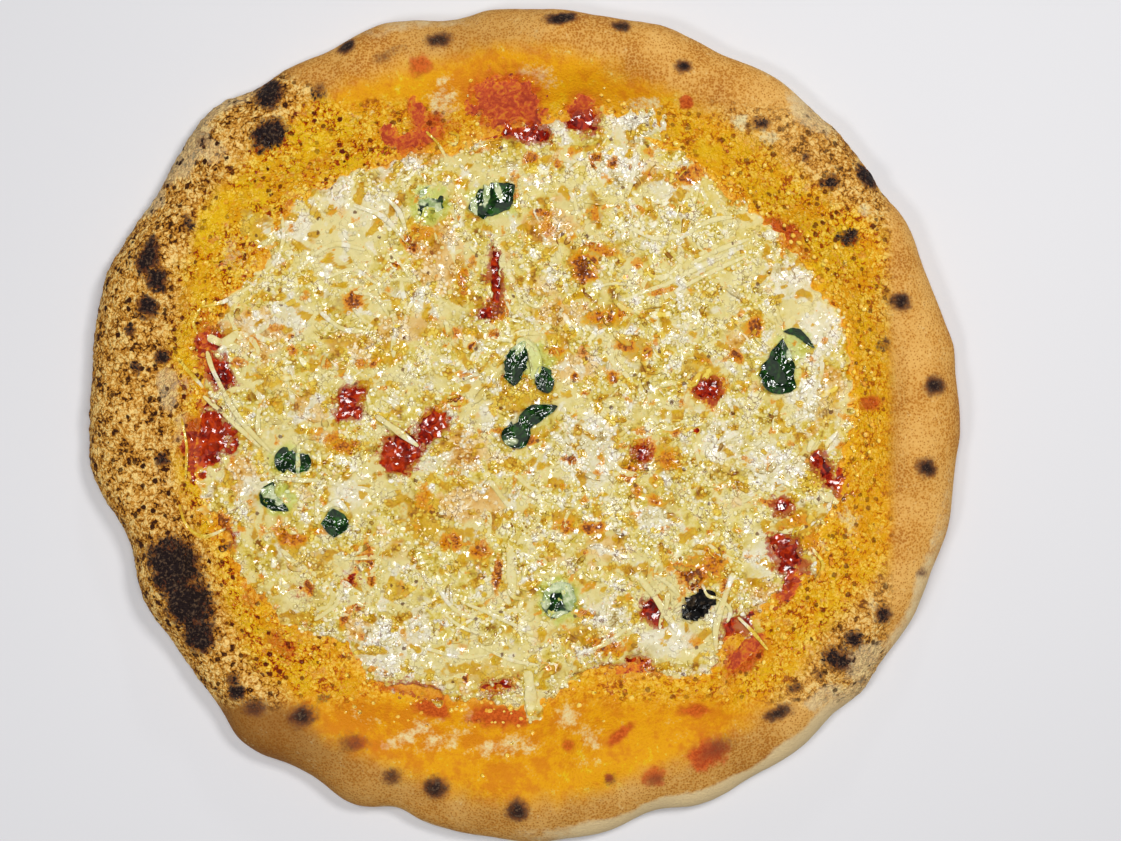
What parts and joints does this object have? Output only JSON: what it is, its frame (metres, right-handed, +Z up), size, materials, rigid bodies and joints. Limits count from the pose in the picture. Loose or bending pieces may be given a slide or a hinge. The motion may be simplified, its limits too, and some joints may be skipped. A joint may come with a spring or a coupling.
{
  "type": "provolone pizza",
  "caption": "Round baked pizza with a puffed, scorched rim, tomato sauce, melted provolone with shreds and torn basil leaves; it lies flat.",
  "frame": {"origin": "on the sole of the crust, under the middle of the pizza's bounding box", "axes": "+Z up, +X to the picture's right, +Y to the picture's top"},
  "size_m": [0.31, 0.2966, 0.023],
  "materials": {
    "crust": "baked dough, matt, golden brown with scorched spots",
    "tomato_sauce": "wet crushed tomato",
    "melted_cheese": "oily melted and grated provolone",
    "basil": "dark wilted basil with an oily gloss",
    "burnt_basil": "charred leaf"
  },
  "bodies": {
    "root": {"crust": "crust", "tomato_sauce": "tomato_sauce", "melted_cheese": "melted_cheese", "basil_leaf_top": "basil", "basil_leaf_under_cheese": "basil", "basil_leaf_middle_left": "basil", "basil_leaf_middle_right": "basil", "basil_leaf_middle_low": "basil", "basil_leaf_right": "basil", "basil_leaf_right_folded": "basil", "basil_leaf_left": "basil", "basil_leaf_left_low": "basil", "basil_leaf_left_square": "basil", "basil_leaf_bottom": "basil", "burnt_basil_leaf": "burnt_basil"}
  },
  "joints": []
}
